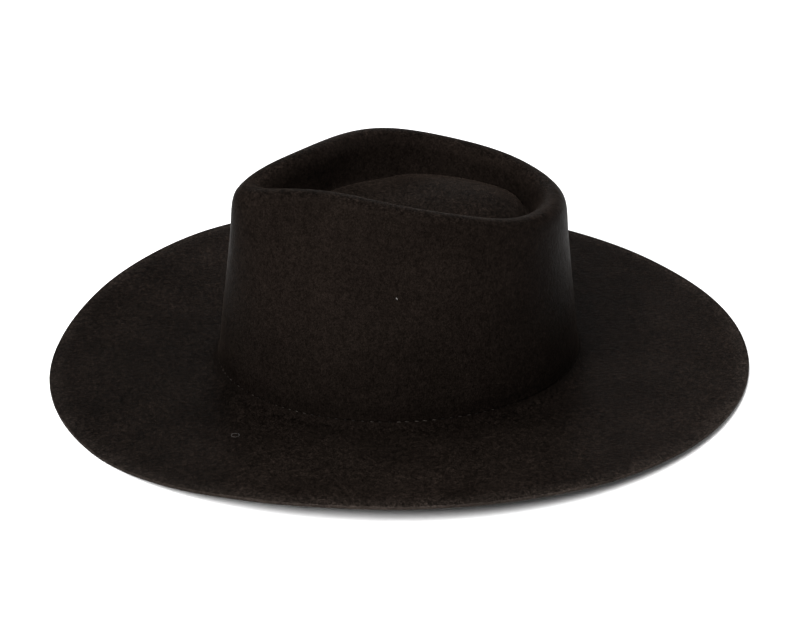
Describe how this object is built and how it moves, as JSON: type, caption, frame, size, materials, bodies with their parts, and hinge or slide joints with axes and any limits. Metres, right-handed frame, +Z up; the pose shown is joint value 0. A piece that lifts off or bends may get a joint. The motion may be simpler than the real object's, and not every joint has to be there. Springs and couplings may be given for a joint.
{
  "type": "rancher hat",
  "caption": "Wide-brimmed blocked felt hat with a teardrop crown, a gently swept brim with a plain cut edge, and a leather sweatband inside its foot.",
  "frame": {"origin": "centre of the hat on the surface that its brim rests on", "axes": "+Z up through the crown, -Y towards the front, +Y towards the back along the brim's longest way, +X towards the wearer's left"},
  "size_m": [0.362, 0.4, 0.124],
  "materials": {
    "felt": "matte black wool felt with a short brushed nap",
    "sweatband_leather": "smooth black leather, satin"
  },
  "bodies": {
    "root": {"felt_crown_and_brim": "felt", "sweatband": "sweatband_leather"}
  },
  "joints": []
}
